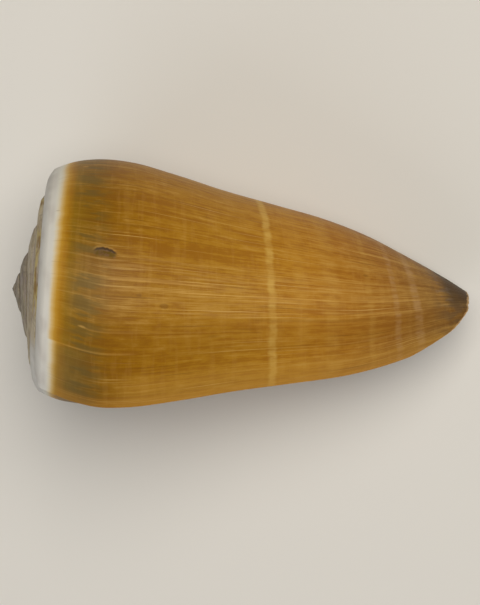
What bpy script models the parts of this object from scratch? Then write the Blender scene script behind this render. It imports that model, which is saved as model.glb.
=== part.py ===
"""Cone shell, one solid piece: low stepped spire, tapering last whorl, narrow aperture slit."""
import bpy
import bmesh
from math import radians, sin, cos, exp, log, sqrt, pi
from mathutils import Matrix, Vector

for old in list(bpy.data.objects):
    bpy.data.objects.remove(old, do_unlink=True)

# Driving dimensions, millimetres and degrees
LENGTH = 49.7
COLUMNS = 60
SPIRE_TURNS = 5.8
RAMP_STEPS = 3
BODY_STEPS = 24
SUTURE_RADIUS = 14.4
WHORL_GROWTH = 1.28
WHORL_DESCENT = 1.19
EARLY_GROWTH = 0.12
EARLY_START = 1.4
SPIRE_SLOPE = 0.44
SPIRE_CURVE = 0.0148
SPIRE_SINK = 0.73
RAMP_BULGE = 0.10
EARLY_BULGE = 0.05
LEAN = 0.03
LEAN_RADIUS = 6.0
LEAN_ANGLE = 138.0
DENT_TURNS = 0.9
DENT_WIDTH = 0.22
DENT_SHARE = 0.05
DENT_SINK = 0.2
LIP_THICKNESS = 0.75
WALL_THICKNESS = 1.15
HOLLOW_ANGLE = 114.0
HOLLOW_BACK_GAP = 0.35
PILLAR_THINNING = 0.7
LIP_CORNER_DROP = 8.0
LIP_CORNER_ANGLE = 16.0
COLUMELLA_DROP = 1.3
SINUS_ANGLE = 4.0
ROLL = -138.290
PITCH = 13.191
MM = 0.001

# Radius of the last whorl at the lip against the distance from the apex
LIP_OUTLINE = (
    (4.0, 14.4), (6.0, 15.29), (9.0, 15.83), (13.0, 15.67), (18.0, 14.55),
    (24.0, 12.92), (30.0, 11.54), (36.0, 10.1), (41.0, 8.36), (45.0, 6.5),
    (50.2, 3.85), (53.6, 1.95), (58.0, 1.35),
)


def slopes_of(points):
    """Tangent at each outline point, from the parabola through it and its neighbours."""
    result = []
    last = len(points) - 1
    for i in range(len(points)):
        a = points[max(i - 1, 0)]
        b = points[i]
        c = points[min(i + 1, last)]
        if i in (0, last):
            result.append((c[1] - a[1]) / (c[0] - a[0]))
            continue
        before = (b[1] - a[1]) / (b[0] - a[0])
        after = (c[1] - b[1]) / (c[0] - b[0])
        weight = (b[0] - a[0]) / (c[0] - a[0])
        result.append(before * (1 - weight) + after * weight)
    result[0] = 2 * result[0] - result[1]
    return result


LIP_SLOPES = slopes_of(LIP_OUTLINE)


def lip_radius(z):
    """Smooth curve through the outline points."""
    z = min(max(z, LIP_OUTLINE[0][0]), LIP_OUTLINE[-1][0])
    i = 0
    while i < len(LIP_OUTLINE) - 2 and z > LIP_OUTLINE[i + 1][0]:
        i += 1
    z0, r0 = LIP_OUTLINE[i]
    z1, r1 = LIP_OUTLINE[i + 1]
    span = z1 - z0
    t = (z - z0) / span
    h00 = 2 * t ** 3 - 3 * t ** 2 + 1
    h10 = t ** 3 - 2 * t ** 2 + t
    h01 = 3 * t ** 2 - 2 * t ** 3
    h11 = t ** 3 - t ** 2
    return h00 * r0 + h10 * span * LIP_SLOPES[i] + h01 * r1 + h11 * span * LIP_SLOPES[i + 1]


def smooth(t):
    t = min(max(t, 0.0), 1.0)
    return t * t * (3 - 2 * t)


def suture(turns):
    """Radius and distance from the apex of the seam that the next whorl covers."""
    early = max(turns - EARLY_START, 0.0)
    r = SUTURE_RADIUS * exp(-log(WHORL_GROWTH) * turns - EARLY_GROWTH * early ** 2)
    sink = SPIRE_SINK * max(1 - turns / EARLY_START, 0.0)
    return r, SPIRE_SLOPE * r - SPIRE_CURVE * r * r + sink


def end_distance(turns):
    """Where the front end of the shell lies, drawn back at the lip corner and the pillar."""
    angle = 360.0 * turns
    corner = LIP_CORNER_DROP * exp(-angle / LIP_CORNER_ANGLE)
    pillar = COLUMELLA_DROP * smooth((angle - 150.0) / 210.0)
    return LENGTH - corner - pillar


def ramp_point(turns, step):
    """Point of the sloping top of a whorl, from the inner seam to the shoulder."""
    r0, z0 = suture(turns + 1)
    r1, z1 = suture(turns)
    v = step / RAMP_STEPS
    share = RAMP_BULGE + (EARLY_BULGE - RAMP_BULGE) * smooth(turns - 0.9)
    bulge = share * (r1 - r0) * sin(pi * v ** 1.3)
    return r0 + (r1 - r0) * v, z0 + (z1 - z0) * v - bulge


def body_point(turns, step):
    """Point of the outside below the shoulder, from the seam line to the front end."""
    r0, z0 = suture(turns)
    z1 = end_distance(min(turns, 1.0))
    u = step / BODY_STEPS
    share = u * (0.45 + 0.95 * u - 0.4 * u * u)
    z = z0 + (z1 - z0) * share
    r = WHORL_GROWTH ** (-turns) * lip_radius(z * WHORL_DESCENT ** turns)
    thin = PILLAR_THINNING * smooth((360.0 * turns - 375.0) / 45.0) * smooth((step - 1) / 4.0)
    return r * (1 - thin), z


def inner_point(turns, step):
    """Point of the inside of the last whorl, a wall thickness under the outside."""
    depth = 360.0 * turns
    wall = LIP_THICKNESS + (WALL_THICKNESS - LIP_THICKNESS) * smooth(depth / 40.0)
    r, z = body_point(turns, step)
    ra, za = body_point(turns, step - 1)
    rb, zb = body_point(turns, min(step + 1, BODY_STEPS))
    run = sqrt((rb - ra) ** 2 + (zb - za) ** 2)
    r_in = r - wall * (zb - za) / run
    z_in = z + wall * (rb - ra) / run * (1 - smooth((step - BODY_STEPS + 4) / 4.0))
    rc = WHORL_GROWTH ** (-turns - 1) * lip_radius(z_in * WHORL_DESCENT ** (turns + 1))
    close = smooth((depth - HOLLOW_ANGLE + 45.0) / 45.0)
    floor = rc + HOLLOW_BACK_GAP
    return max(r_in + (floor - r_in) * close, floor), z_in


def place(turns, point, sinus=0.0):
    """Position in the frame of the shell, with the lean of the spire and the dent facing the lip."""
    angle = -2 * pi * turns - radians(sinus)
    r, z = point
    dent = smooth(1 - abs(turns - DENT_TURNS) / DENT_WIDTH)
    z += DENT_SINK * dent * (1 - smooth((z - 3.0) / 5.0))
    r *= 1 - DENT_SHARE * dent
    lean = LEAN * (r - LEAN_RADIUS) * smooth(r / LEAN_RADIUS)
    z += lean * cos(angle + radians(LEAN_ANGLE)) * (1 - smooth((z - 4.0) / 14.0))
    return Vector((r * cos(angle), r * sin(angle), z)) * MM


mesh = bmesh.new()
first = -round(SPIRE_TURNS * COLUMNS)
hollow = round(HOLLOW_ANGLE * COLUMNS / 360.0)
ramp = {}
body = {}
inner = {}

# Spire and the tops of the whorls, a spiral strip whose seam rows are shared between turns
for i in range(first, 1):
    n = -i / COLUMNS
    for j in range(RAMP_STEPS + 1):
        if j == 0 and i - COLUMNS >= first:
            ramp[i, 0] = ramp[i - COLUMNS, RAMP_STEPS]
            continue
        back = SINUS_ANGLE * sin(pi * j / RAMP_STEPS)
        ramp[i, j] = mesh.verts.new(place(n, ramp_point(n, j), back))
    if i > first:
        for j in range(RAMP_STEPS):
            corners = [ramp[i - 1, j], ramp[i, j], ramp[i, j + 1], ramp[i - 1, j + 1]]
            mesh.faces.new(corners)

# Apex cap
apex = mesh.verts.new((0, 0, 0))
for i in range(first + 1, first + COLUMNS + 1):
    mesh.faces.new([apex, ramp[i, 0], ramp[i - 1, 0]])
for j in range(RAMP_STEPS):
    mesh.faces.new([apex, ramp[first, j], ramp[first, j + 1]])

# Outside of the last whorl, running on as the inner wall of the aperture
for i in range(-COLUMNS - hollow, 1):
    n = -i / COLUMNS
    body[i, 0] = ramp[i, RAMP_STEPS]
    for j in range(1, BODY_STEPS + 1):
        body[i, j] = mesh.verts.new(place(n, body_point(n, j)))
    if i == -COLUMNS - hollow:
        continue
    for j in range(0 if i > -COLUMNS else 1, BODY_STEPS):
        mesh.faces.new([body[i - 1, j], body[i, j], body[i, j + 1], body[i - 1, j + 1]])

# Inside of the last whorl behind the lip
for i in range(-hollow, 1):
    n = -i / COLUMNS
    inner[i, 1] = body[i - COLUMNS, 1]
    for j in range(2, BODY_STEPS + 1):
        inner[i, j] = mesh.verts.new(place(n, inner_point(n, j)))
    if i > -hollow:
        for j in range(1, BODY_STEPS):
            mesh.faces.new([inner[i, j], inner[i - 1, j], inner[i - 1, j + 1], inner[i, j + 1]])

# Lip edge
for j in range(RAMP_STEPS):
    mesh.faces.new([inner[0, 1], ramp[0, j], ramp[0, j + 1]])
mesh.faces.new([inner[0, 1], body[0, 0], body[0, 1]])
for j in range(1, BODY_STEPS):
    mesh.faces.new([body[0, j], body[0, j + 1], inner[0, j + 1], inner[0, j]])

# Back of the hollow
deep = -COLUMNS - hollow
mesh.faces.new([inner[-hollow, 1], inner[-hollow, 2], body[deep, 2]])
for j in range(2, BODY_STEPS):
    mesh.faces.new([inner[-hollow, j], inner[-hollow, j + 1], body[deep, j + 1], body[deep, j]])

# Front end, the wall over the hollow first and then the pillar
for i in range(-hollow + 1, 1):
    a = body[i - 1, BODY_STEPS]
    b = body[i, BODY_STEPS]
    mesh.faces.new([a, b, inner[i, BODY_STEPS], inner[i - 1, BODY_STEPS]])
loop = [body[i, BODY_STEPS] for i in range(-COLUMNS, -hollow + 1)]
loop.append(inner[-hollow, BODY_STEPS])
loop.extend(body[i, BODY_STEPS] for i in range(-COLUMNS - hollow, -COLUMNS))
centre = sum((v.co for v in loop), Vector()) / len(loop)
middle = mesh.verts.new(Vector((0, 0, centre.z)) + Vector((0, 0, 0.1 * MM)))
for i, vert in enumerate(loop):
    mesh.faces.new([vert, loop[(i + 1) % len(loop)], middle])

bmesh.ops.triangulate(mesh, faces=mesh.faces[:])
bmesh.ops.recalc_face_normals(mesh, faces=mesh.faces[:])

data = bpy.data.meshes.new("shell")
mesh.to_mesh(data)
mesh.free()

# Laid on its flank with the tip along X, then set down on the ground
axes = Matrix(((0, 0, 1), (0, 1, 0), (-1, 0, 0))).to_4x4()
turn = Matrix.Rotation(radians(PITCH), 4, "Y") @ Matrix.Rotation(radians(ROLL), 4, "X")
data.transform(turn @ axes)
low = Vector([min(v.co[k] for v in data.vertices) for k in range(3)])
high = Vector([max(v.co[k] for v in data.vertices) for k in range(3)])
data.transform(Matrix.Translation((-(low.x + high.x) / 2, -(low.y + high.y) / 2, -low.z)))

for face in data.polygons:
    face.use_smooth = True
data.set_sharp_from_angle(angle=radians(50))

shell = bpy.data.objects.new("shell", data)
bpy.context.scene.collection.objects.link(shell)

material = bpy.data.materials.new("shell")
material.use_nodes = True
surface = material.node_tree.nodes["Principled BSDF"]
surface.inputs["Base Color"].default_value = (0.36, 0.17, 0.045, 1.0)
surface.inputs["Roughness"].default_value = 0.38
surface.inputs["Metallic"].default_value = 0.0
data.materials.append(material)
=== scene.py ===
from math import radians

import bpy
import numpy as np
from mathutils import Matrix, Vector


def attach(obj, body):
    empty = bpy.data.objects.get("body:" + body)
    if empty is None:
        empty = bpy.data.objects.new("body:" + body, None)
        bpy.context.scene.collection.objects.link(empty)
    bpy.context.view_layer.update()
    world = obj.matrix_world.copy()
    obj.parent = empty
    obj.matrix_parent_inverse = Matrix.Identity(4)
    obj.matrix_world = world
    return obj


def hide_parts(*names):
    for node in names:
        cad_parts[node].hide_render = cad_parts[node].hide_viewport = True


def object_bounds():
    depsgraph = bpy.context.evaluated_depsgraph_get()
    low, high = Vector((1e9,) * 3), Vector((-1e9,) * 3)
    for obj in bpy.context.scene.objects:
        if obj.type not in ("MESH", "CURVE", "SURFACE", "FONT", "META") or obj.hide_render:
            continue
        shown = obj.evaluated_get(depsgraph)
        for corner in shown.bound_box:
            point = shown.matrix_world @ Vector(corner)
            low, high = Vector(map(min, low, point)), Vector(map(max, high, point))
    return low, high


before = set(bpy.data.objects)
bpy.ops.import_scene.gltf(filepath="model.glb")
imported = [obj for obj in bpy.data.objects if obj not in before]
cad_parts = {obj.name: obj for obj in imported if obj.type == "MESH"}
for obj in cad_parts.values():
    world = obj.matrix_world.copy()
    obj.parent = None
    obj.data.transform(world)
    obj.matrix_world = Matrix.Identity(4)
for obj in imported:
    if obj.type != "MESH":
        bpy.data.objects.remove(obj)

MM = 0.001
cad_low, cad_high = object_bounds()

# The shell: one piece of aragonite that the snail laid down at its lip, layer on layer, as it turned.
# Its last whorl is a thin sheet wound round all but the sloping tops of the older ones. Turns are
# counted back from the lip, angles are degrees, and lengths are millimetres along the axis.
SPIRE_TURNS = 6
LENGTH = 49.7
SUTURE_RADIUS = 14.4
WHORL_GROWTH = 1.28
WHORL_DESCENT = 1.19
SHOULDER = 4.0
EARLY_GROWTH, EARLY_START = 0.12, 1.4
SPIRE_SLOPE, SPIRE_CURVE, SPIRE_SINK = 0.44, 0.0148, 0.73
RAMP_BULGE, EARLY_BULGE, BULGE_TURNS, BULGE_SKEW = 0.10, 0.05, 0.9, 1.3
LEAN, LEAN_RADIUS, LEAN_ANGLE, LEAN_FADE = 0.03, 6.0, 138.0, 14.0
DENT_TURNS, DENT_WIDTH, DENT_SHARE, DENT_SINK = 0.9, 0.22, 0.05, 0.2
DENT_START, DENT_FADE = 3.0, 5.0
LIP_THICKNESS, WALL_THICKNESS, WALL_ANGLE = 0.75, 1.15, 40.0
HOLLOW_ANGLE, HOLLOW_CLOSING, HOLLOW_BACK_GAP = 114.0, 45.0, 0.35
PILLAR_THINNING, THINNING_START, THINNING_ANGLE = 0.7, 375.0, 45.0
LIP_CORNER_DROP, LIP_CORNER_ANGLE = 8.0, 16.0
COLUMELLA_DROP, COLUMELLA_START, COLUMELLA_ANGLE = 1.3, 150.0, 210.0
END_WEAR, WEAR_ANGLE, NICK_ANGLE, NICK_SHARE = 0.10, 6.0, 2.3, 0.6
SINUS_ANGLE = 4.0
LINE_STRAIGHT, LINE_BEND = 35.0, 0.07
SHOULDER_LAG, LAG_REACH = 3.6, 7.0
SEAM_DEPTH = 0.08
PROUD_EDGE, PROUD_TURNS, PROUD_REACH = 0.30, 0.98, 0.16
OLD_RIDGE, WEAR_TURNS, WEAR_REACH = 0.08, 0.95, 0.25
# The side of the last whorl at the lip: length and radius
LIP_OUTLINE = np.array([
    (4.0, 14.4), (6.0, 15.29), (9.0, 15.83), (13.0, 15.67), (18.0, 14.55),
    (24.0, 12.92), (30.0, 11.54), (36.0, 10.1), (41.0, 8.36), (45.0, 6.5),
    (50.2, 3.85), (53.6, 1.95), (58.0, 1.35),
])


def smooth(t):
    """Soft step, 0 below 0 and 1 above 1."""
    t = np.clip(t, 0.0, 1.0)
    return t * t * (3 - 2 * t)


def hump(x, centre, half):
    """Soft bump, 1 at its centre and 0 from half its width away."""
    return smooth(1 - abs(x - centre) / half)


def wander(x, seed, y=0.0):
    """Smooth noise between -1 and 1, one bump per unit of x and of y."""
    table = np.random.default_rng(seed).uniform(-1, 1, (512, 64))
    x, y = np.broadcast_arrays(x, y)
    i, j = np.floor(x).astype(int), np.floor(y).astype(int)
    s, t = smooth(x - i), smooth(y - j)
    low = table[i % 512, j % 64] * (1 - s) + table[(i + 1) % 512, j % 64] * s
    high = table[i % 512, (j + 1) % 64] * (1 - s) + table[(i + 1) % 512, (j + 1) % 64] * s
    return low * (1 - t) + high * t


def lip_radius(z):
    """Radius of the last whorl at the lip, a smooth curve through the outline points."""
    x, y = LIP_OUTLINE.T
    rise = np.diff(y) / np.diff(x)
    share = np.diff(x)[:-1] / (x[2:] - x[:-2])
    slope = np.concatenate([[0.0], rise[:-1] * (1 - share) + rise[1:] * share, [rise[-1]]])
    slope[0] = 2 * rise[0] - slope[1]
    z = np.clip(z, x[0], x[-1])
    i = np.clip(np.searchsorted(x, z, side="right") - 1, 0, len(x) - 2)
    span = x[i + 1] - x[i]
    t = (z - x[i]) / span
    bend = (t ** 3 - 2 * t ** 2 + t) * slope[i] + (t ** 3 - t ** 2) * slope[i + 1]
    return y[i] + (y[i + 1] - y[i]) * (3 * t ** 2 - 2 * t ** 3) + span * bend


def suture(turns):
    """Radius and length of the seam that the next whorl covers."""
    early = np.maximum(turns - EARLY_START, 0.0)
    r = SUTURE_RADIUS * WHORL_GROWTH ** -turns * np.exp(-EARLY_GROWTH * early ** 2)
    sink = SPIRE_SINK * np.maximum(1 - turns / EARLY_START, 0.0)
    return r, SPIRE_SLOPE * r - SPIRE_CURVE * r * r + sink


def end_length(turns):
    """Where the front end lies, drawn back at the lip corner and at the pillar, and a little worn."""
    angle = 360.0 * np.minimum(turns, 1.0)
    corner = LIP_CORNER_DROP * np.exp(-angle / LIP_CORNER_ANGLE)
    nicks = NICK_SHARE * abs(wander(angle / NICK_ANGLE, 32))
    worn_edge = END_WEAR * (wander(angle / WEAR_ANGLE, 31) - nicks)
    pillar = COLUMELLA_DROP * smooth((angle - COLUMELLA_START) / COLUMELLA_ANGLE)
    return LENGTH - corner - pillar + worn_edge


def ramp_profile(turns, v):
    """The sloping top of a whorl, v from 0 at the older seam to 1 at its own."""
    r0, z0 = suture(turns + 1)
    r1, z1 = suture(turns)
    share = RAMP_BULGE + (EARLY_BULGE - RAMP_BULGE) * smooth(turns - BULGE_TURNS)
    bulge = share * (r1 - r0) * np.sin(np.pi * v ** BULGE_SKEW)
    return r0 + (r1 - r0) * v, z0 + (z1 - z0) * v - bulge


# Along a whorl's side, u is 0 at the shoulder and 1 at the front. Rows start close together. The wall
# is measured across steps of a 24th, and ends level with the outside over the last sixth.
TIGHT, LOOSER, EASED = 0.45, 0.95, 0.4
SIDE_STEPS, THINNING_STEPS, LEVEL_PART = 24, 4.0, 6


def body_profile(turns, u):
    """The side of a whorl, from its shoulder to the front end."""
    z0 = suture(turns)[1]
    z = z0 + (end_length(turns) - z0) * u * (TIGHT + LOOSER * u - EASED * u * u)
    r = WHORL_GROWTH ** -turns * lip_radius(z * WHORL_DESCENT ** turns)
    thin = PILLAR_THINNING * smooth((360.0 * turns - THINNING_START) / THINNING_ANGLE)
    return r * (1 - thin * smooth((SIDE_STEPS * u - 1) / THINNING_STEPS)), z


def inner_profile(turns, u):
    """Inside of the last whorl, a wall thickness under the outside."""
    depth = 360.0 * turns
    wall = LIP_THICKNESS + (WALL_THICKNESS - LIP_THICKNESS) * smooth(depth / WALL_ANGLE)
    step = 1.0 / SIDE_STEPS
    r, z = body_profile(turns, u)
    ra, za = body_profile(turns, np.maximum(u - step, 0.0))
    rb, zb = body_profile(turns, np.minimum(u + step, 1.0))
    run = np.hypot(rb - ra, zb - za)
    z_in = z + wall * (rb - ra) / run * (1 - smooth((u - 1) * LEVEL_PART + 1))
    r_in = r - wall * (zb - za) / run
    older = WHORL_GROWTH ** (-turns - 1) * lip_radius(z_in * WHORL_DESCENT ** (turns + 1))
    floor = HOLLOW_BACK_GAP + older
    close = smooth((depth - HOLLOW_ANGLE + HOLLOW_CLOSING) / HOLLOW_CLOSING)
    return np.maximum(r_in + (floor - r_in) * close, floor), z_in


def place(turns, profile):
    """Points in the shell's own frame: axis along z, lip at angle 0, spire leaning a little."""
    r, z = profile
    angle = -2 * np.pi * turns
    dent = smooth(1 - abs(turns - DENT_TURNS) / DENT_WIDTH)
    z = z + DENT_SINK * dent * (1 - smooth((z - DENT_START) / DENT_FADE))
    r = r * (1 - DENT_SHARE * dent)
    lean = LEAN * (r - LEAN_RADIUS) * smooth(r / LEAN_RADIUS)
    z = z + lean * np.cos(angle + radians(LEAN_ANGLE)) * (1 - smooth((z - SHOULDER) / LEAN_FADE))
    return np.stack([r * np.cos(angle), r * np.sin(angle), z], -1)


def out_of(points):
    """Outward direction at each point of a grid of columns and rows."""
    across = np.gradient(points, axis=0)
    down = np.gradient(points, axis=1)
    normal = np.cross(across, down)
    return normal / np.maximum(np.linalg.norm(normal, axis=-1, keepdims=True), 1e-9)


def lag(along):
    """Degrees by which the lip, and every growth line, hangs back at the shoulder and the front."""
    front = LINE_BEND * np.maximum(along - LINE_STRAIGHT, 0) ** 2
    return SHOULDER_LAG * (1 - smooth((along - SHOULDER) / LAG_REACH)) + front


# Columns of points follow the growth lines, close together on the side with the most detail and at
# the same angles on every turn. A ramp column ends where a body column starts, so they share a seam.
FINE_DEGREES, FINE_STEP, COARSE_STEP = 168, 0.5, 1.5
HOLLOW_STRIDE = 6
RAMP_ROWS, BODY_ROWS = 8, 132
fine_side = np.arange(0, FINE_DEGREES, FINE_STEP)
coarse_side = np.arange(FINE_DEGREES, 360, COARSE_STEP)
one_turn = np.concatenate([fine_side, coarse_side]) / 360.0
COLUMNS = len(one_turn)
hollow = round(HOLLOW_ANGLE / FINE_STEP)
column_turns = np.concatenate([one_turn + k for k in range(SPIRE_TURNS)])[::-1]
ramp_turns = column_turns[:, None]
body_turns = column_turns[-COLUMNS - hollow - 1:, None]
v = np.linspace(0, 1, RAMP_ROWS + 1)[None] ** 1.5
u = np.linspace(0, 1, BODY_ROWS + 1)[None]

# The ramps: seams are sunk, the old whorls carry a low ridge each, and one turn back from the lip a
# short stretch stands proud beside its seam
ramp_at = ramp_turns + (SHOULDER_LAG + SINUS_ANGLE * np.sin(np.pi * v)) / 360
ramp_points = place(ramp_at, ramp_profile(ramp_at, v))
ramp_growth = np.broadcast_to(-360.0 * ramp_turns, ramp_at.shape)
ramp_size = np.minimum(suture(ramp_turns)[0] / 6, 1)
worn = smooth((ramp_turns - WEAR_TURNS) / WEAR_REACH)
ramp_relief = PROUD_EDGE * hump(ramp_turns, PROUD_TURNS, PROUD_REACH) * hump(v, 0.72, 0.28)
ramp_relief = ramp_relief - SEAM_DEPTH * (1 + worn) * hump(v, 0.03, 0.12)
ramp_relief = ramp_relief + OLD_RIDGE * worn * hump(v, 0.8, 0.3)
ramp_points += (ramp_relief * ramp_size)[..., None] * out_of(ramp_points)

# The sides of the whorls, and the inside of the last one as far back as the hollow goes
body_at = body_turns + lag(body_profile(body_turns, u)[1] * WHORL_DESCENT ** body_turns) / 360
body_r, body_z = body_profile(body_at, u)
body_points = place(body_at, (body_r, body_z))
body_along = body_z * WHORL_DESCENT ** body_at
body_growth = np.broadcast_to(-360.0 * body_turns, body_at.shape)
inner_turns = body_turns[-hollow - 1::HOLLOW_STRIDE]
inner_at = body_at[-hollow - 1::HOLLOW_STRIDE]
inner_points = place(inner_at, inner_profile(inner_at, u))

# Lines that stand where growth paused: degrees from the lip, half width, start, end, and how pale
STANDING_LINES = [
    (-53.2, 0.35, 9.0, 23.0, 1.0), (-49.6, 0.35, 16.0, 47.0, 0.9), (-47.2, 0.4, 13.0, 30.0, 0.6),
    (-33.2, 0.35, 7.0, 26.0, 0.6), (-24.8, 0.4, 4.6, 15.0, 0.75), (-24.0, 0.4, 33.0, 48.0, 0.8),
    (-19.5, 0.4, 36.0, 47.0, 0.7), (-57.0, 0.3, 26.0, 47.0, 0.4), (-61.4, 0.5, 9.5, 40.0, -0.4),
    (-76.0, 0.6, 5.5, 18.0, -0.7), (-29.0, 1.2, 7.0, 17.0, -0.4), (-38.0, 0.9, 24.0, 42.0, -0.6),
]
# Small stains, dark or pale: degrees from the lip, length, half width, half length, and how pale
SPECKS = [
    (-43.8, 16.4, 1.5, 0.7, -2.0), (-47.6, 13.8, 1.2, 0.5, -1.5), (-70.6, 13.6, 0.8, 0.35, -1.0),
    (-68.0, 38.6, 1.6, 0.5, -1.6), (-33.6, 8.1, 0.7, 0.7, 1.3), (-111.5, 7.6, 1.0, 0.6, 1.2),
    (-80.0, 4.9, 0.7, 0.5, -0.8), (-75.0, 5.2, 0.6, 0.4, -0.6), (-31.0, 21.5, 1.6, 1.5, -0.7),
    (-88.0, 21.0, 1.2, 1.6, -0.6),
]
# Broken flakes: degrees from the lip, length, half width, half length, and depth
FLAKE = (-63.7, 10.1, 1.5, 1.15, 0.17)
RIM_CHIPS = [(-104.0, 48.9, 7.0, 0.5, 0.14), (-92.0, 49.8, 6.0, 0.4, 0.10)]
LINE_HEIGHT, LINE_SWERVE, LINE_FADE = 0.02, 0.35, 2.5
swerve = body_growth + LINE_SWERVE * wander(body_along / 7, 20, body_growth / 30)
body_streak = np.zeros(body_along.shape)
for angle, width, start, end, strength in STANDING_LINES:
    reach = smooth((body_along - start) / LINE_FADE) * smooth((end - body_along) / LINE_FADE)
    body_streak += strength * reach * hump(swerve, angle, 2 * width)
body_carving = LINE_HEIGHT * body_streak
for angle, along, half_angle, half_along, strength in SPECKS:
    body_streak += strength * hump(body_growth, angle, half_angle) * hump(body_along, along, half_along)
for angle, along, half_angle, half_along, depth in [FLAKE] + RIM_CHIPS:
    # Steep under an arched far edge, where the flake came away, and shallow on the near side
    arch = angle - half_angle * np.clip(1 - ((body_along - along) / half_along) ** 2, 0, 1)
    past = (body_growth - arch) / half_angle
    lens = smooth(past * 3) * smooth((2.2 - past) / 1.6) * hump(body_along, along, 1.1 * half_along) ** 0.5
    body_carving -= depth * lens
# Relief fades out at the shoulder seam, and partly at the rim
body_fresh = smooth(u * 20) * smooth((1.0 - u) * 14 + 0.35)

points = []


def number(grid):
    """Adds a grid of points to the shell's one list and gives their numbers there."""
    start = sum(len(block) for block in points)
    points.append(grid.reshape(-1, 3))
    return start + np.arange(len(points[-1])).reshape(grid.shape[:-1])


# The last point of a ramp is the first of the next turn's ramp, or of the side below it
ramp_ids = number(ramp_points)
ramp_ids[COLUMNS:, 0] = ramp_ids[:-COLUMNS, RAMP_ROWS]
body_ids = number(body_points)
body_ids[:, 0] = ramp_ids[-len(body_turns):, RAMP_ROWS]
inner_ids = number(inner_points)
inner_ids[:, 1] = body_ids[:hollow + 1:HOLLOW_STRIDE, 1]

faces = []
face_maps = []
face_inside = []
OUTSIDE, EDGE, INSIDE = 0.0, 0.5, 1.0


def skin(ids, growth, along, inside=OUTSIDE):
    """Quads over a grid of point numbers, with growth and length kept as the map of the faces."""
    corners = [(slice(0, -1), slice(0, -1)), (slice(1, None), slice(0, -1)),
               (slice(1, None), slice(1, None)), (slice(0, -1), slice(1, None))]
    growth, along = np.broadcast_arrays(growth, along)
    quads = np.stack([ids[c].ravel() for c in corners], -1)
    maps = np.stack([np.stack([growth[c].ravel(), along[c].ravel()], -1) for c in corners], 1)
    faces.extend(quads.tolist())
    face_maps.extend(maps.tolist())
    face_inside.extend([inside] * len(quads))


def patch(ids, growth, along, inside=OUTSIDE):
    """One face with the same growth and length all over."""
    faces.append([int(i) for i in ids])
    face_maps.append([[growth, along]] * len(ids))
    face_inside.append(inside)


skin(ramp_ids, ramp_growth, SHOULDER * v)
skin(body_ids[hollow:], body_growth[hollow:], body_along[hollow:])
under = slice(0, hollow + 1, HOLLOW_STRIDE)
skin(body_ids[under, 1:], body_growth[under, 1:], body_along[under, 1:], INSIDE)
inner_along = inner_profile(inner_turns, u)[1]
skin(inner_ids[:, 1:][::-1], -360 * inner_turns[::-1], inner_along[:, 1:][::-1], INSIDE)

# Apex, one point that closes the first turn
apex = number(np.array([[0.0, 0.0, 0.0]]))[0]
for i in range(COLUMNS):
    patch([apex, ramp_ids[i + 1, 0], ramp_ids[i, 0]], -360 * SPIRE_TURNS, 0.0)
for j in range(RAMP_ROWS):
    patch([apex, ramp_ids[0, j], ramp_ids[0, j + 1]], -360 * SPIRE_TURNS, 0.0)

# Lip edge, rounded over along its middle
LIP_ROUNDING = 0.18
forward = np.array([0.0, 1.0, 0.0])
lip_ids = number((body_points[-1, 2:] + inner_points[-1, 2:]) / 2 + LIP_ROUNDING * forward)
for j in range(RAMP_ROWS):
    patch([ramp_ids[-1, j + 1], ramp_ids[-1, j], inner_ids[-1, 1]], 0.0, SHOULDER, EDGE)
patch([body_ids[-1, 1], body_ids[-1, 0], inner_ids[-1, 1]], 0.0, SHOULDER, EDGE)
corner = [inner_ids[-1, 2], lip_ids[0], body_ids[-1, 2], body_ids[-1, 1], inner_ids[-1, 1]]
patch(corner, 0.0, SHOULDER, EDGE)
for j in range(2, BODY_ROWS):
    a, b = lip_ids[j - 2], lip_ids[j - 1]
    patch([a, b, body_ids[-1, j + 1], body_ids[-1, j]], 0.0, body_along[-1, j], EDGE)
    patch([inner_ids[-1, j], inner_ids[-1, j + 1], b, a], 0.0, body_along[-1, j], EDGE)

# Back of the hollow, out of sight, so one length serves for all of it in the map
HOLLOW_LENGTH = 20.0
patch([body_ids[0, 2], inner_ids[0, 2], inner_ids[0, 1]], 0.0, SHOULDER, INSIDE)
for j in range(2, BODY_ROWS):
    strip = [body_ids[0, j], body_ids[0, j + 1], inner_ids[0, j + 1], inner_ids[0, j]]
    patch(strip, 0.0, HOLLOW_LENGTH, INSIDE)

# Front end: the rounded rim of the wall first, then the pillar as a low fan
RIM_ROUNDING, PILLAR_ROUNDING = 0.15, 0.1
first_open = len(body_turns) - 1 - hollow
rim_middle = (body_points[first_open::HOLLOW_STRIDE, -1] + inner_points[:, -1]) / 2
rim_ids = number(rim_middle + np.array([0, 0, RIM_ROUNDING]))
for k in range(len(inner_turns) - 1):
    c = first_open + k * HOLLOW_STRIDE
    outer = [body_ids[c + s, -1] for s in range(HOLLOW_STRIDE + 1)]
    patch(outer + [rim_ids[k + 1], rim_ids[k]], -360 * inner_turns[k, 0], LENGTH, EDGE)
    inner = [rim_ids[k], rim_ids[k + 1], inner_ids[k + 1, -1], inner_ids[k, -1]]
    patch(inner, -360 * inner_turns[k, 0], LENGTH, EDGE)
patch([lip_ids[-1], rim_ids[-1], body_ids[-1, -1]], 0.0, LENGTH, EDGE)
patch([inner_ids[-1, -1], rim_ids[-1], lip_ids[-1]], 0.0, LENGTH, EDGE)
loop = [body_ids[i, -1] for i in range(hollow, len(body_turns) - hollow)]
loop += [rim_ids[0], inner_ids[0, -1]]
loop += [body_ids[i, -1] for i in range(0, hollow, HOLLOW_STRIDE)]
pillar_end = np.concatenate(points)[loop][:, 2].mean() + PILLAR_ROUNDING
pillar_id = number(np.array([[0.0, 0.0, pillar_end]]))[0]
for a, b in zip(loop, loop[1:] + loop[:1]):
    patch([a, b, pillar_id], -0.5, LENGTH, EDGE)

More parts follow.
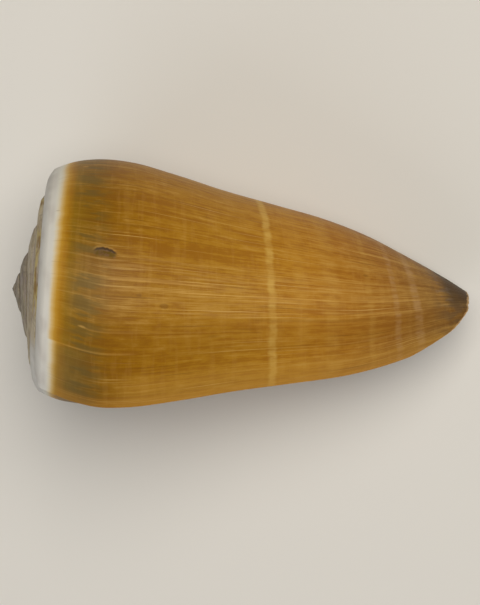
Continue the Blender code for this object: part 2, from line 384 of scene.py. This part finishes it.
# Laid on its flank as the frame lies, tip along X, the photographed side up
ROLL, PITCH = -138.290, 13.191
axes = Matrix(((0, 0, 1), (0, 1, 0), (-1, 0, 0)))
turn = Matrix.Rotation(radians(PITCH), 3, "Y") @ Matrix.Rotation(radians(ROLL), 3, "X") @ axes
laid = np.concatenate(points) @ np.array(turn).T * MM
used = np.unique(np.concatenate([np.array(f) for f in faces]))
low, high = laid[used].min(0), laid[used].max(0)
cad_middle = (np.array(cad_low) + np.array(cad_high)) / 2
apex_at = cad_middle - (low + high) / 2
apex_at[2] = cad_low[2] - low[2]
laid += apex_at

renumber = np.full(len(laid), -1)
renumber[used] = np.arange(len(used))
mesh = bpy.data.meshes.new("spiral")
mesh.from_pydata(laid[used].tolist(), [], [[int(renumber[i]) for i in f] for f in faces])
uv = mesh.uv_layers.new(name="growth")
uv.data.foreach_set("uv", np.concatenate([np.array(m) for m in face_maps]).ravel())
mesh.attributes.new("inside", "FLOAT", "FACE").data.foreach_set("value", face_inside)

# What the growth ridges and the material need to know at each point
MARKS = ("turned", "along", "fresh", "worn", "carving", "streak", "rim")
FAR_FROM_RIM = 9.0
ramp_cells, body_cells = ramp_ids[:, 1:], body_ids[:, 1:]
marks = {name: np.zeros(len(laid)) for name in MARKS}
marks["turned"][ramp_cells], marks["turned"][body_cells] = ramp_growth[:, 1:], body_growth[:, 1:]
marks["along"][ramp_cells], marks["along"][body_cells] = SHOULDER * v[:, 1:], body_along[:, 1:]
marks["worn"][ramp_cells] = (worn * ramp_size * np.ones(v.shape))[:, 1:]
marks["fresh"][body_ids[hollow:, 1:]] = (body_fresh * smooth((body_along - 3.0) / 6.0))[hollow:, 1:]
marks["carving"][body_ids[hollow:, 1:]] = (body_carving * body_fresh)[hollow:, 1:]
marks["streak"][body_cells] = body_streak[:, 1:]
marks["rim"] += FAR_FROM_RIM
marks["rim"][body_ids[hollow:, 1:]] = (end_length(body_at) - body_z)[hollow:, 1:]
for name, values in marks.items():
    mesh.attributes.new(name, "FLOAT", "POINT").data.foreach_set("value", values[used])
mesh.validate()
for polygon in mesh.polygons:
    polygon.use_smooth = True
mesh.set_sharp_from_angle(angle=radians(60))
shell = bpy.data.objects.new("shell_skin", mesh)
bpy.context.scene.collection.objects.link(shell)


def linear(code):
    """An sRGB hex colour as linear numbers."""
    parts = [int(code[k:k + 2], 16) / 255 for k in (1, 3, 5)]
    return [p / 12.92 if p <= 0.04045 else ((p + 0.055) / 1.055) ** 2.4 for p in parts] + [1.0]


def node(kind, *values, **settings):
    """Adds a node to the open tree and gives its output: values fill its inputs in order, and settings
    name its properties and further inputs."""
    made = tree.nodes.new(kind if "Node" in kind else "ShaderNode" + kind)
    named = {key: value for key, value in settings.items() if not hasattr(made, key)}
    for key in settings.keys() - named.keys():
        setattr(made, key, settings[key])
    filled = list(zip([socket for socket in made.inputs if socket.enabled], values))
    for socket, value in filled + [(made.inputs[key], value) for key, value in named.items()]:
        if isinstance(value, bpy.types.NodeSocket):
            tree.links.new(value, socket)
        elif value is not None:
            socket.default_value = linear(value) if str(value).startswith("#") else value
    return next(socket for socket in made.outputs if socket.enabled)


TIMES, PLUS, LESS = ({"operation": name} for name in ("MULTIPLY", "ADD", "SUBTRACT"))
SOFT = {"interpolation_type": "SMOOTHSTEP"}
PAINT = {"data_type": "RGBA"}

# Polished aragonite, as laid down by the snail and only washed: hard and close, with a satin gloss.
# The eye sees brown-gold layers crossed by fine lines, a white shoulder and a bare, chalky spire.
# In the map, growth is degrees back from the lip, as a number below 0, and length is millimetres.
polished_aragonite = bpy.data.materials.new("polished aragonite")
polished_aragonite.use_nodes = True
tree = polished_aragonite.node_tree
tree.nodes.clear()
growth = node("SeparateXYZ", node("UVMap", uv_map="growth"))
length = growth.node.outputs["Y"]
streak, to_end, within = (
    node("Attribute", attribute_name=name).node.outputs["Fac"] for name in ("streak", "rim", "inside")
)


def grown(across, along, detail=2.0, rough=0.5):
    """A pattern drawn out along the growth lines, bumps sized in degrees across and mm along them.
    A degree is 0.27 mm wide behind the shoulder and 0.11 mm near the front end."""
    spread = node("CombineXYZ", node("Math", growth, across, operation="DIVIDE"),
                  node("Math", length, along, operation="DIVIDE"))
    return node("TexNoise", spread, Scale=1.0, Detail=detail, Roughness=rough, noise_dimensions="2D")


def zone(value, start, full, fade, end):
    """1 between full and fade, falling softly to 0 at start and end."""
    return node("Math", node("MapRange", value, start, full, **SOFT),
                node("MapRange", value, end, fade, **SOFT), **TIMES)


def layer(under, over, strength, *shares):
    """Lays a colour over another, where all the shares say so."""
    for share in shares:
        strength = node("Math", strength, share, **TIMES)
    return node("Mix", strength, under, over, **PAINT)


# White shoulder, a cream and yellow edge that steps where growth paused, then the gold body, olive
# behind the shoulder and browner towards the front end: lengths with their colours
GOLD = [
    (4.7, "#d4d0c3"), (5.0, "#d3c8ac"), (5.2, "#cfb480"), (5.42, "#c6a156"), (5.7, "#b48628"),
    (6.1, "#a07111"), (6.7, "#89650f"), (8.5, "#805a07"), (11.0, "#8c5f02"), (15.0, "#9d6d0f"),
    (24.0, "#a8771c"), (31.0, "#ae791e"), (36.0, "#a77221"), (41.0, "#9b6a25"), (44.5, "#92682c"),
    (47.5, "#845f2c"), (49.5, "#6d4f28"), (50.8, "#594124"),
]
GOLD_END = 52.0
step = node("Math", node("MapRange", growth, -120.0, -27.0, -0.25, 0.35, **SOFT),
            node("MapRange", growth, -25.2, -24.4, 0.0, -0.35, **SOFT), **PLUS)
ragged = node("MapRange", grown(9.0, 80.0, 4.0, 0.7), 0.0, 1.0, -0.22, 0.22)
near_edge = node("MapRange", length, 9.0, 6.0, **SOFT)
step = node("Math", node("Math", step, ragged, **PLUS), near_edge, **TIMES)
stops = node("ValToRGB", node("Math", node("Math", length, step, **PLUS), GOLD_END, operation="DIVIDE"))
keys = stops.node.color_ramp.elements
for k, (at, tint) in enumerate(GOLD):
    key = keys[k] if k < 2 else keys.new(at / GOLD_END)
    key.position, key.color = at / GOLD_END, linear(tint)
painted = node("MapRange", length, 5.0, 6.2, **SOFT)

# Growth bands in three widths, and a mottling where the top layer is thick or thin. The finest bands
# of a real shell are a few hundredths of a millimetre, too fine to show, and are drawn at 0.2 mm.
hair, thread, band = grown(0.8, 6.0, 3.0, 0.65), grown(2.2, 15.0, 3.0, 0.6), grown(8.0, 28.0, 2.0)
mottle, spiral_thread = grown(3.4, 1.9, 4.0, 0.65), grown(24.0, 0.75, 3.0, 0.6)
tone = node("Math", hair, 0.28, **TIMES)
for pattern, weight in ((thread, 0.24), (band, 0.18), (mottle, 0.30)):
    tone = node("Math", tone, node("Math", pattern, weight, **TIMES), **PLUS)
deeper = node("Mix", 1.0, stops, "#c9a35c", blend_type="MULTIPLY", **PAINT)
# The ground is plainer close behind the shoulder
plain = node("MapRange", length, 6.0, 15.0, 0.5, 1.0, **SOFT)
gold = layer(stops, deeper, 0.46, painted, plain, node("MapRange", tone, 0.535, 0.42, **SOFT))
gold = layer(gold, "#c3974a", 0.42, painted, plain, node("MapRange", tone, 0.515, 0.65, **SOFT))
gold = layer(gold, "#c99d52", 0.08, painted, node("MapRange", spiral_thread, 0.5, 0.66, **SOFT))

# What grew after the last pause starts a duller olive behind the shoulder
latest = node("MapRange", growth, -25.4, -22.5, **SOFT)
gold = layer(gold, "#5c4d22", 0.42, latest, zone(length, 5.0, 5.9, 7.4, 10.5))

# Hairlines, thin and pale where a growth line is worn, and thin dark ones where dirt or a deeper layer shows.
# The pale ones crowd together along the middle of the back, where it faces the eye and the key lamp, and
# there they are partly a painted sheen
pale_line = node("MapRange", grown(0.7, 17.0, 1.0), 0.64, 0.78, **SOFT)
dark_line = node("MapRange", grown(1.1, 11.0, 2.0), 0.36, 0.25, **SOFT)
back_and_sheen_band = zone(growth, -66.0, -58.0, -42.0, -36.0)
often = node("MapRange", grown(12.0, 20.0, 1.0), 0.35, 0.6, **SOFT)
# Hairlines are fainter close behind the shoulder
clear = node("MapRange", length, 7.0, 13.0, 0.3, 1.0, **SOFT)
gold = layer(gold, "#d8b065", 0.50, clear, pale_line, node("Math", often, back_and_sheen_band, operation="MAXIMUM"))
# A paler rubbed strip along the middle of the back, partly real wear and partly a painted sheen where the
# back faces the key lamp
rubbed_and_sheen = node("MapRange", grown(1.6, 9.0, 3.0, 0.7), 0.46, 0.62, **SOFT)
gold = layer(gold, "#cda356", 0.25, clear, back_and_sheen_band, rubbed_and_sheen)
dirty = node("MapRange", grown(10.0, 12.0, 1.0), 0.4, 0.6, **SOFT)
gold = layer(gold, "#6b4209", 0.50, clear, dark_line, dirty)

# Olive-grey clouds behind the shoulder, where the thin layers let the older shell show through
clouds = node("MapRange", grown(4.5, 5.0, 3.0, 0.65), 0.42, 0.58, **SOFT)
gold = layer(gold, "#645222", 0.60, clouds, zone(length, 6.2, 7.6, 8.5, 11.5))

# Pale spiral bands, one strong one past the middle and faint broken ones towards the front: length,
# half width, strength, how broken, and colour
STRAW, BUFF = "#cfa954", "#b99669"
SPIRAL_BANDS = [
    (28.0, 0.40, 0.55, 0.45, STRAW), (31.1, 0.7, 0.10, 0.45, STRAW), (34.5, 0.8, 0.14, 0.45, STRAW),
    (38.9, 0.35, 0.14, 0.3, STRAW), (41.9, 0.34, 0.28, 0.3, BUFF), (44.4, 0.45, 0.34, 0.3, BUFF),
]
wobble = node("MapRange", grown(4.5, 60.0, 3.0, 0.6), 0.0, 1.0, -0.28, 0.28)
slant = node("Math", growth, 0.003, **TIMES)
along_band = node("Math", node("Math", length, wobble, **PLUS), slant, **LESS)
for centre, half, strength, least, tint in SPIRAL_BANDS:
    away = node("Math", node("Math", along_band, centre, **LESS), operation="ABSOLUTE")
    broken = node("MapRange", grown(5.0, 3.0, 3.0), 0.38, 0.60, least, 1.0, **SOFT)
    gold = layer(gold, tint, strength, broken, node("MapRange", away, half * 1.5, half * 0.4, **SOFT))

# The standing lines, which are raised on the surface as well, and the stains
gold = layer(gold, "#d0a252", 0.42, node("MapRange", streak, 0.15, 1.0, **SOFT))
gold = layer(gold, "#6c4308", 0.45, node("MapRange", streak, -0.1, -1.0, **SOFT))

# Warm and pale behind the lip, and a darker stripe before that
past_shoulder = node("MapRange", length, 10.0, 14.0, **SOFT)
gold = layer(gold, "#c4862e", 0.30, painted, node("MapRange", growth, -7.0, -1.0, **SOFT))
gold = layer(gold, "#cb983f", 0.30, past_shoulder, node("MapRange", growth, -20.0, -9.0, **SOFT))
gold = layer(gold, "#80530c", 0.22, past_shoulder, zone(growth, -41.0, -34.0, -24.0, -20.0))

# The broken flake behind the shoulder: a painted shadow along its wavy arched far edge, where the step falls
# away, a thin painted highlight along the rim above that edge, and a grey-olive floor below it
flake_angle, flake_along, flake_rise, flake_half, _ = FLAKE
from_middle = node("Math", node("Math", length, flake_along, **LESS), flake_half, operation="DIVIDE")
fall = node("Math", node("Math", from_middle, from_middle, **TIMES), flake_rise, **TIMES)
past_arch = node("Math", node("Math", growth, flake_angle - flake_rise, **LESS), fall, **LESS)
wavy = node("MapRange", grown(30.0, 0.5, 2.0), 0.0, 1.0, -0.35, 0.35)
past_arch = node("Math", past_arch, wavy, **PLUS)
in_flake = zone(from_middle, -1.15, -0.7, 0.8, 1.2)
uneven = node("MapRange", grown(2.0, 0.7, 2.0), 0.4, 0.6, **SOFT)
flake_floor = node("Mix", uneven, "#5f4a18", "#6c5136", **PAINT)
below_arch = node("MapRange", past_arch, 0.0, 0.4, **SOFT)
above_near_side = node("MapRange", growth, flake_angle + 3.2, flake_angle + 1.3, **SOFT)
gold = layer(gold, flake_floor, 0.85, in_flake, below_arch, above_near_side)
# Painted shadow under the arched edge of the step
gold = layer(gold, "#3a2400", 0.9, in_flake, zone(past_arch, -0.20, 0.10, 0.40, 1.1))
# Painted highlight on the rim above the arched edge
gold = layer(gold, "#a87f33", 0.5, in_flake, zone(past_arch, -1.1, -0.6, -0.4, -0.15))

# The shoulder's white, a little clouded
clouded = node("MapRange", grown(14.0, 2.5, 2.0), 0.35, 0.7, **SOFT)
chalk = node("Mix", clouded, "#cfccc3", "#c3beb5", **PAINT)
colour = layer(gold, chalk, 1.0, node("MapRange", length, 4.9, 4.4, **SOFT))

# The spire: bare, weathered shell, grey and beige, with low cords, old growth lines, and brown dirt
# left beside the seam
GRAIN_SIZE = 0.625
spot = node("TexCoord").node.outputs["Object"]
grain = node("TexNoise", spot, Scale=1 / (GRAIN_SIZE * MM), Detail=4.0, Roughness=0.6)
age = node("MapRange", growth, -364.0, -377.0, **SOFT)
weathered = node("MapRange", grown(20.0, 1.3, 3.0, 0.6), 0.38, 0.62, **SOFT)
oldest = node("Mix", weathered, "#776f60", "#968c7c", **PAINT)
old = node("Mix", weathered, "#b0a186", "#cabda2", **PAINT)
old = layer(old, oldest, 1.0, node("MapRange", growth, -640.0, -1250.0, **SOFT))
old = layer(old, "#8a7e6c", 0.38, node("MapRange", grown(140.0, 0.32, 2.0), 0.48, 0.62, **SOFT))
old = layer(old, "#cbc1a9", 0.45, node("MapRange", grown(75.0, 0.36, 2.0), 0.54, 0.68, **SOFT))
old = layer(old, "#7b7063", 0.32, node("MapRange", grown(2.4, 7.0, 3.0, 0.6), 0.46, 0.34, **SOFT))
old = layer(old, "#8d8184", 0.38, node("MapRange", grown(34.0, 1.5, 2.0), 0.50, 0.66, **SOFT))
old = layer(old, "#75695a", 0.24, node("MapRange", grain, 0.5, 0.75, **SOFT))
old = layer(old, "#4e4435", 0.75, node("MapRange", length, 0.22, 0.04, **SOFT))
inner_seam = node("MapRange", length, 0.55, 0.1, **SOFT)
outer_seam = node("MapRange", length, 2.4, 3.4, **SOFT)
seam = node("Math", inner_seam, outer_seam, operation="MAXIMUM")
left_over = node("MapRange", grown(34.0, 1.3, 4.0, 0.7), 0.43, 0.57, **SOFT)
recent = node("MapRange", growth, -760.0, -480.0, 0.15, 1.0, **SOFT)
dirt_patches = node("MapRange", grown(7.0, 0.8, 2.0), 0.4, 0.6, **SOFT)
dirt_tint = node("Mix", dirt_patches, "#8a6c30", "#bba869", **PAINT)
old = layer(old, dirt_tint, 0.85, seam, left_over, recent)
last_ramp = layer(chalk, "#a08443", 0.7, left_over, node("MapRange", length, 0.55, 0.15, **SOFT))
ramp_colour = layer(last_ramp, old, 1.0, age)
colour = layer(colour, ramp_colour, 1.0, node("MapRange", length, 4.02, 3.98, **SOFT))

# Violet-brown front end, darkest on its upper side, with grey patches and a worn, pale rim
stained = node("MapRange", grown(12.0, 2.0, 3.0), 0.42, 0.62, **SOFT)
upper_side = node("MapRange", growth, -33.0, -54.0, **SOFT)
colour = layer(colour, "#5d4a34", 0.50, stained, node("MapRange", length, 45.4, 48.6, **SOFT))
colour = layer(colour, "#46331d", 0.76, upper_side, node("MapRange", length, 47.5, 49.3, **SOFT))
grey_patches = node("MapRange", grown(5.0, 1.2, 2.0), 0.50, 0.62, **SOFT)
colour = layer(colour, "#6f665f", 0.22, upper_side, zone(length, 46.5, 47.6, 48.6, 49.6), grey_patches)
ragged_rim = node("MapRange", grown(6.0, 9.0, 2.0), 0.3, 0.7, -0.08, 0.08)
at_rim = node("MapRange", node("Math", to_end, ragged_rim, **PLUS), 0.24, 0.08, **SOFT)
colour = layer(colour, "#c79f68", 0.7, at_rim)

# Inside: smooth, pale violet-white, as far as can be told; the broken edges show the bare layers
faintly = node("MapRange", grown(20.0, 30.0, 1.0), 0.3, 0.7, **SOFT)
lining = node("Mix", faintly, "#cfc3c6", "#bfaebb", **PAINT)
colour = layer(colour, lining, node("Math", within, 0.75, operation="GREATER_THAN"))
colour = layer(colour, "#c9a266", zone(within, 0.2, 0.3, 0.7, 0.8))

# Satin on the body, duller on the white shoulder and rough on the weathered spire. The growth lines
# are felt as a silky grain, and the spire as fine pits. The IOR is aragonite's lowest, and the gloss is
# turned down to what shows on a shell that has lost its shine.
SILK_DEPTH, PIT_DEPTH = 0.03, 0.12
SATIN, DULL, WEATHERED_ROUGH = 0.46, 0.55, 0.75
rough_side = node("MapRange", length, 5.6, 4.4, SATIN, DULL, **SOFT)
rough_spire = node("MapRange", growth, -340.0, -372.0, 0.3, WEATHERED_ROUGH, **SOFT)
rough = node("Math", rough_side, rough_spire, operation="MAXIMUM")
coarse_silk = node("Math", hair, 0.6, **TIMES)
fine_silk = node("Math", grown(0.35, 3.0, 1.0), 0.4, **TIMES)
silk = node("Math", coarse_silk, fine_silk, **PLUS)
silk_strength = node("MapRange", length, 4.2, 6.5, 0.1, 0.5, **SOFT)
silky = node("Bump", Height=silk, Strength=silk_strength, Distance=SILK_DEPTH * MM)
pits = node("Math", grain, age, **TIMES)
pitted = node("Bump", Height=pits, Strength=0.6, Distance=PIT_DEPTH * MM, Normal=silky)
surface = node("BsdfPrincipled", **{
    "Base Color": colour, "Roughness": rough, "IOR": 1.53, "Specular IOR Level": 0.14, "Normal": pitted,
})
tree.links.new(surface, tree.nodes.new("ShaderNodeOutputMaterial").inputs["Surface"])

# Growth ridges, raised by a node tree that moves every point out along its own normal: fine ones on
# the body, where the lip was built out a hair at a time, and hollows on the worn older whorls. Name,
# where, degrees across, mm along, and height from lowest to highest.
RIDGES = [
    ("Hair", "fresh", 0.9, 9.0, 0.020), ("Thread", "fresh", 2.6, 13.0, 0.032),
    ("Band", "fresh", 8.0, 20.0, 0.040), ("Pit", "worn", 9.0, 0.8, 0.12), ("Hollow", "worn", 26.0, 1.3, 0.24),
]
tree = bpy.data.node_groups.new("growth ridges", "GeometryNodeTree")
tree.interface.new_socket("Shell", in_out="INPUT", socket_type="NodeSocketGeometry")
tree.interface.new_socket("Shell", in_out="OUTPUT", socket_type="NodeSocketGeometry")
sizes = {"Seed": 7.0}
for name, _, spacing, reach, height in RIDGES:
    sizes |= {name + " spacing": spacing, name + " reach": reach, name + " height": height * MM}
inputs = {}
for name in sizes:
    inputs[name] = tree.interface.new_socket(name, in_out="INPUT", socket_type="NodeSocketFloat")
given = node("NodeGroupInput").node.outputs
turned, along, fresh, worn_share, carving = (
    node("GeometryNodeInputNamedAttribute", name)
    for name in ("turned", "along", "fresh", "worn", "carving")
)
rise = node("Math", carving, MM, **TIMES)
for name, share, *_ in RIDGES:
    across = node("Math", turned, given[name + " spacing"], operation="DIVIDE")
    down = node("Math", along, given[name + " reach"], operation="DIVIDE")
    bumps = node("TexNoise", node("CombineXYZ", across, down, given["Seed"]), Scale=1.0, Detail=1.0)
    ridge = node("Math", node("Math", bumps, 0.5, **LESS), given[name + " height"], **TIMES)
    ridge = node("Math", ridge, fresh if share == "fresh" else worn_share, **TIMES)
    rise = node("Math", rise, ridge, **PLUS)
outward = node("VectorMath", node("GeometryNodeInputNormal"), Scale=rise, operation="SCALE")
raised = node("GeometryNodeSetPosition", given["Shell"], Offset=outward)
single = node("GeometryNodeRealizeInstances", raised)
coloured = node("GeometryNodeSetMaterial", single, Material=polished_aragonite)
tree.links.new(coloured, tree.nodes.new("NodeGroupOutput").inputs["Shell"])

growing = shell.modifiers.new("growth ridges", "NODES")
growing.node_group = tree
for name, size in sizes.items():
    growing[inputs[name].identifier] = size
drawn = bpy.context.evaluated_depsgraph_get()
ridged = shell.evaluated_get(drawn)
finished = bpy.data.meshes.new_from_object(ridged, preserve_all_data_layers=True, depsgraph=drawn)
shell.modifiers.clear()
shell.data = finished
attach(shell, "root")
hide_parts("shell")

# The table top: a plain sheet of pale card that the shell lies on, flat and laid loose, and wide
# enough to fill the picture from any side. It is no part of the shell.
TABLE_SIZE = 4.0
bpy.ops.mesh.primitive_plane_add(size=TABLE_SIZE, location=(0, 0, 0))
floor = bpy.context.object
floor.name = "table_top"

# Matt card, pressed paper pulp: an even warm off-white with no gloss, so only soft shade shows on it
matt_card = bpy.data.materials.new("matt card")
matt_card.use_nodes = True
sheet = matt_card.node_tree.nodes["Principled BSDF"].inputs
sheet["Base Color"].default_value = linear("#dcd9d2")
sheet["Roughness"].default_value = 0.85
floor.data.materials.append(matt_card)

# The camera: a 100 mm lens over the shell, turned as in the photograph. The apex is seen at a known
# pixel, the axis tips away and down a little, and the lip lies round the side from the eye. Directions
# are first worked out in the picture: across, up, and towards the eye. A pixel covers PIXEL mm there.
LENS, SENSOR = 100.0, 36.0
PIXEL = 0.1096
PICTURE_WIDTH, PICTURE_HEIGHT = 480, 605
APEX_SEEN_X, APEX_SEEN_Y = 12.3, 288.5
MIDDLE_LENGTH = 25
AXIS_AWAY, AXIS_DOWN, LIP_FROM_VIEW = radians(4.5), radians(2.8), radians(48.0)
far = LENS / SENSOR * PICTURE_HEIGHT * PIXEL
across_view, rise_to_eye = np.cos(AXIS_AWAY), MIDDLE_LENGTH * np.sin(AXIS_AWAY)
axis = np.array([
    across_view * np.cos(AXIS_DOWN), -across_view * np.sin(AXIS_DOWN), -np.sin(AXIS_AWAY),
])
facing = np.array([0, 0, 1.0]) - axis * axis[2]
facing /= np.linalg.norm(facing)
side = np.cross(axis, facing)
lip = facing * np.cos(LIP_FROM_VIEW) + side * np.sin(LIP_FROM_VIEW)
past_lip = -facing * np.sin(LIP_FROM_VIEW) + side * np.cos(LIP_FROM_VIEW)
seen = np.stack([lip, past_lip, axis], 1)
apex_right, apex_up = APEX_SEEN_X - PICTURE_WIDTH / 2, PICTURE_HEIGHT / 2 - APEX_SEEN_Y
apex_view = np.array([apex_right * PIXEL, apex_up * PIXEL, 0])
apex_view = apex_view * (1 - rise_to_eye / far) + np.array([0, 0, rise_to_eye])
to_world = np.array(turn) @ seen.T
camera_at = to_world @ (np.array([0, 0, far]) - apex_view) * MM + apex_at
camera_data = bpy.data.cameras.new("camera")
camera_data.lens, camera_data.sensor_width = LENS, SENSOR
camera = bpy.data.objects.new("camera", camera_data)
camera.matrix_world = Matrix.Translation(Vector(camera_at)) @ Matrix(to_world.tolist()).to_4x4()
bpy.context.scene.collection.objects.link(camera)
bpy.context.scene.camera = camera

# Colours are shown as they are measured, without a film-like curve
bpy.context.scene.view_settings.view_transform = "Standard"

# Studio light: a broad soft box beside the camera, a weaker, lower one across from it, and a pale
# room that lifts the shadows. Places and sizes are metres, and powers are watts.
LIT_POINT = Vector((0, 0, 0.01))


def soft_box(name, stands_at, size, power, tint):
    """A square lamp that faces the shell."""
    light = bpy.data.lights.new(name, "AREA")
    light.shape, light.size, light.energy = "SQUARE", size, power
    light.color = linear(tint)[:3]
    lamp = bpy.data.objects.new(name, light)
    lamp.location = stands_at
    lamp.rotation_euler = (LIT_POINT - Vector(stands_at)).to_track_quat("-Z", "Y").to_euler()
    bpy.context.scene.collection.objects.link(lamp)


soft_box("key", stands_at=(0.11, 0.17, 0.50), size=0.42, power=2.7, tint="#fffaf2")
soft_box("fill", stands_at=(-0.20, -0.38, 0.28), size=0.45, power=0.7, tint="#f6f8ff")
room = bpy.data.worlds.new("room")
room.use_nodes = True
walls = room.node_tree.nodes["Background"].inputs
walls["Color"].default_value = linear("#e8eaee")
walls["Strength"].default_value = 0.12
bpy.context.scene.world = room
